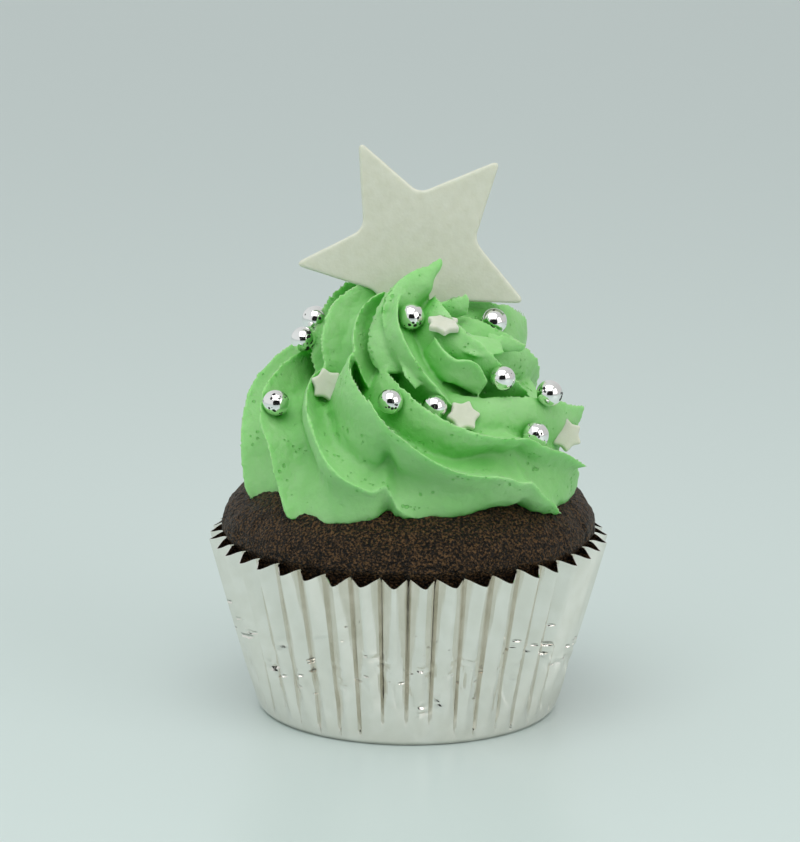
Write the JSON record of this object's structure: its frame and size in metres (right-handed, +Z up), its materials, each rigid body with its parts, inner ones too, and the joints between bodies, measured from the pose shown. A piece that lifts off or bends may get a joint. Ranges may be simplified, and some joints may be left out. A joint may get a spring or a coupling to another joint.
{
  "type": "cupcake",
  "caption": "Domed sponge cake in a fluted foil case, with a tall piped swirl of icing, sugar toppings and a flat star standing in its peak.",
  "frame": {"origin": "on the underside of the case, under its axis", "axes": "+Z up along the case's axis, -Y towards the front, which the star faces"},
  "size_m": [0.0672, 0.0672, 0.0948],
  "materials": {
    "foil": "bright fluted foil",
    "sponge": "matte, fine crumb",
    "buttercream": "satin, soft",
    "sugar_paste": "matte, smooth",
    "silver_balls": "polished, finely pitted"
  },
  "bodies": {
    "root": {"case": "foil", "cake": "sponge", "icing": "buttercream", "star": "sugar_paste"}
  },
  "joints": []
}
